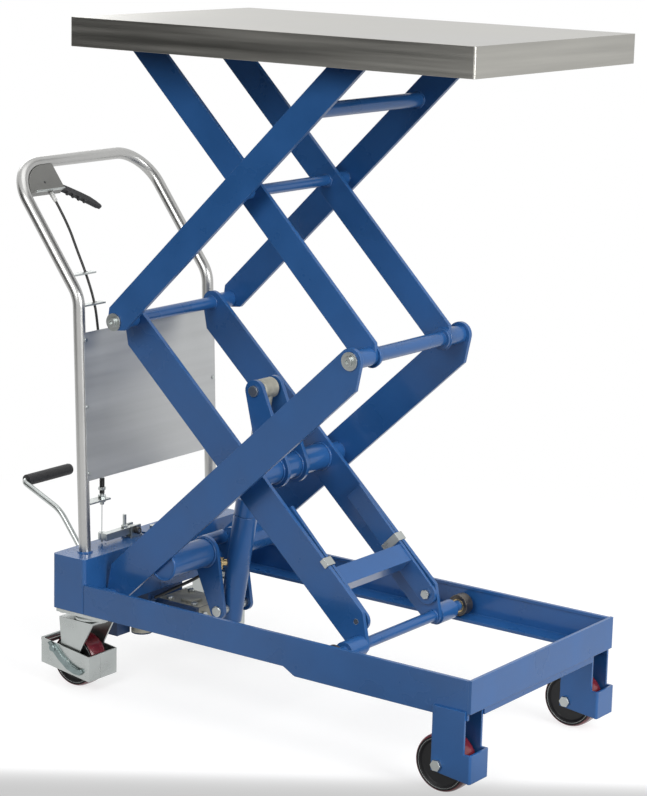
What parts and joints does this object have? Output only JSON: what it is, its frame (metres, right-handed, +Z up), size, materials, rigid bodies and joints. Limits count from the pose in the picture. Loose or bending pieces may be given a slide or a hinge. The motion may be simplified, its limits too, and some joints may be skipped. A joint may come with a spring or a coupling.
{
  "type": "scissor lift table",
  "caption": "Foot-pumped double scissor lift table on a wheeled base frame with a push handle, for raising and moving loads.",
  "frame": {"origin": "on the floor under the middle of the overall length and width", "axes": "+X runs from the push handle to the toe, +Y to the side away from the foot pedal, +Z up"},
  "size_m": [1.15, 0.5, 1.2229],
  "materials": {
    "blue_paint": "satin",
    "dark_paint": "satin",
    "bright_tube": "satin",
    "stainless_sheet": "brushed",
    "zinc_plate": "zinc plated",
    "polished_rod": "polished",
    "black_plastic": "matte",
    "hub_plastic": "satin",
    "red_polyurethane": "satin",
    "rubber_grip": "matte",
    "hose_rubber": "matte",
    "steel_roller": "machined",
    "brass_fitting": "machined"
  },
  "bodies": {
    "base": {"rear_beam": "blue_paint", "side_rails": "blue_paint", "front_plate": "blue_paint", "front_brackets": "blue_paint", "front_axle_bolts": "zinc_plate", "base_pivots": "blue_paint", "caster_top_plates": "zinc_plate", "pump_body": "dark_paint", "handle_tube": "bright_tube", "handle_panel": "stainless_sheet", "panel_rivets": "zinc_plate", "lever_bracket": "zinc_plate", "cable_sheath": "hose_rubber", "cable_adjuster": "zinc_plate", "cable_clips": "zinc_plate", "release_bracket": "zinc_plate", "hydraulic_hose": "hose_rubber"},
    "lower_outer": {"lower_outer_arms": "blue_paint", "lower_torque_tube": "blue_paint", "cylinder_brackets": "blue_paint", "cylinder_pin": "zinc_plate"},
    "lower_inner": {"lower_inner_arms": "blue_paint", "lift_torque_tube": "blue_paint", "lift_lugs": "blue_paint", "lift_pin": "zinc_plate", "mid_rear_shaft": "blue_paint", "lower_roller_shaft": "blue_paint", "mid_rear_bolts": "zinc_plate", "prop_bolts": "zinc_plate"},
    "upper_inner": {"upper_inner_arms": "blue_paint", "upper_inner_tubes": "blue_paint", "mid_front_bolts": "zinc_plate"},
    "upper_outer": {"upper_outer_arms": "blue_paint", "upper_cross_tube": "blue_paint"},
    "platform": {"platform_deck": "stainless_sheet", "platform_frame": "blue_paint"},
    "barrel": {"cylinder_barrel": "blue_paint", "hose_fitting": "brass_fitting"},
    "rod": {"cylinder_rod": "polished_rod"},
    "lower_roller_pair": {"lower_rollers": "steel_roller"},
    "upper_roller_pair": {"upper_rollers": "steel_roller"},
    "prop": {"prop_frame": "blue_paint", "prop_clips": "zinc_plate"},
    "pedal": {"pedal_lever": "zinc_plate", "pedal_grip": "rubber_grip"},
    "plunger": {"pump_plunger": "polished_rod"},
    "release": {"release_lever": "zinc_plate"},
    "squeeze_lever": {"hand_lever": "black_plastic"},
    "front_wheel_right": {"front_hub_right": "hub_plastic", "front_tread_right": "red_polyurethane"},
    "caster_right": {"caster_fork_right": "zinc_plate"},
    "caster_wheel_right": {"caster_hub_right": "hub_plastic", "caster_tread_right": "red_polyurethane"},
    "foot_guard_right": {"brake_guard_right": "zinc_plate"},
    "front_wheel_left": {"front_hub_left": "hub_plastic", "front_tread_left": "red_polyurethane"},
    "caster_left": {"caster_fork_left": "zinc_plate"},
    "caster_wheel_left": {"caster_hub_left": "hub_plastic", "caster_tread_left": "red_polyurethane"},
    "foot_guard_left": {"brake_guard_left": "zinc_plate"}
  },
  "joints": [
    {"name": "lift", "type": "hinge", "parent": "base", "child": "lower_outer", "pos_m": [-0.247, 0, 0.1757], "axis": [0, 1, 0], "range_deg": [0, 37], "deforming": ["hydraulic_hose"]},
    {"name": "lower_cross", "type": "hinge", "parent": "lower_outer", "child": "lower_inner", "pos_m": [0.0112, 0, 0.42943], "axis": [0, 1, 0], "range_deg": [-74, 0]},
    {"name": "mid_front_pivot", "type": "hinge", "parent": "lower_outer", "child": "upper_inner", "pos_m": [0.26939, 0, 0.68316], "axis": [0, 1, 0], "range_deg": [-74, 0]},
    {"name": "upper_cross", "type": "hinge", "parent": "upper_inner", "child": "upper_outer", "pos_m": [0.0112, 0, 0.93689], "axis": [0, 1, 0], "range_deg": [0, 74]},
    {"name": "platform_pivot", "type": "hinge", "parent": "upper_inner", "child": "platform", "pos_m": [-0.247, 0, 1.19062], "axis": [0, 1, 0], "range_deg": [0, 37]},
    {"name": "cylinder_foot_pivot", "type": "hinge", "parent": "lower_outer", "child": "barrel", "pos_m": [-0.103, 0, 0.145], "axis": [0, 1, 0], "range_deg": [-17.2, 0]},
    {"name": "cylinder_stroke", "type": "slide", "parent": "barrel", "child": "rod", "axis": [0.1572, 0, 0.9876], "range_m": [-0.142, 0]},
    {"name": "lower_roller_spin", "type": "hinge", "parent": "lower_inner", "child": "lower_roller_pair", "pos_m": [0.26939, 0, 0.1757], "axis": [0, 1, 0], "continuous": true},
    {"name": "upper_roller_spin", "type": "hinge", "parent": "upper_outer", "child": "upper_roller_pair", "pos_m": [0.26939, 0, 1.19062], "axis": [0, 1, 0], "continuous": true},
    {"name": "prop_pivot", "type": "hinge", "parent": "lower_inner", "child": "prop", "pos_m": [0.25914, 0, 0.21662], "axis": [0, -1, 0], "range_deg": [-130, 0]},
    {"name": "front_wheel_spin_right", "type": "hinge", "parent": "base", "child": "front_wheel_right", "pos_m": [0.5108, -0.20625, 0.0508], "axis": [0, 1, 0], "continuous": true},
    {"name": "caster_swivel_right", "type": "hinge", "parent": "base", "child": "caster_right", "pos_m": [-0.275, -0.192, 0.14], "axis": [0, 0, 1], "continuous": true},
    {"name": "caster_wheel_spin_right", "type": "hinge", "parent": "caster_right", "child": "caster_wheel_right", "pos_m": [-0.305, -0.192, 0.0508], "axis": [0, 1, 0], "continuous": true},
    {"name": "foot_guard_tilt_right", "type": "hinge", "parent": "caster_right", "child": "foot_guard_right", "pos_m": [-0.305, -0.192, 0.0508], "axis": [0, -1, 0], "range_deg": [0, 12]},
    {"name": "front_wheel_spin_left", "type": "hinge", "parent": "base", "child": "front_wheel_left", "pos_m": [0.5108, 0.20625, 0.0508], "axis": [0, 1, 0], "continuous": true},
    {"name": "caster_swivel_left", "type": "hinge", "parent": "base", "child": "caster_left", "pos_m": [-0.275, 0.192, 0.14], "axis": [0, 0, 1], "continuous": true},
    {"name": "caster_wheel_spin_left", "type": "hinge", "parent": "caster_left", "child": "caster_wheel_left", "pos_m": [-0.305, 0.192, 0.0508], "axis": [0, 1, 0], "continuous": true},
    {"name": "foot_guard_tilt_left", "type": "hinge", "parent": "caster_left", "child": "foot_guard_left", "pos_m": [-0.305, 0.192, 0.0508], "axis": [0, -1, 0], "range_deg": [0, 12]},
    {"name": "pedal_stroke", "type": "hinge", "parent": "base", "child": "pedal", "pos_m": [-0.307, -0.065, 0.105], "axis": [0, -1, 0], "range_deg": [0, 28], "stiffness_Nm_per_rad": 4, "springref_deg": -28.65},
    {"name": "plunger_stroke", "type": "slide", "parent": "base", "child": "plunger", "axis": [0, 0, -1], "range_m": [0, 0.0123]},
    {"name": "hand_lever_squeeze", "type": "hinge", "parent": "base", "child": "squeeze_lever", "pos_m": [-0.46157, -0.1193, 0.9087], "axis": [0.7948, 0, 0.6069], "range_deg": [0, 14], "stiffness_Nm_per_rad": 0.8, "springref_deg": -17.19},
    {"name": "release_tilt", "type": "hinge", "parent": "base", "child": "release", "pos_m": [-0.307, -0.048, 0.266], "axis": [-1, 0, 0], "range_deg": [0, 6], "stiffness_Nm_per_rad": 0.4, "springref_deg": -17.19}
  ],
  "couplings": [
    {"joint": "lower_cross", "follows": "lift", "ratio": -2},
    {"joint": "mid_front_pivot", "follows": "lift", "ratio": -2},
    {"joint": "upper_cross", "follows": "lift", "ratio": 2},
    {"joint": "platform_pivot", "follows": "lift", "ratio": 1},
    {"joint": "cylinder_foot_pivot", "follows": "lift", "ratio": -0.4556},
    {"joint": "cylinder_stroke", "follows": "lift", "m_per_rad": -0.21585},
    {"joint": "plunger_stroke", "follows": "pedal_stroke", "m_per_rad": 0.02509},
    {"joint": "release_tilt", "follows": "hand_lever_squeeze", "ratio": 0.42837}
  ]
}
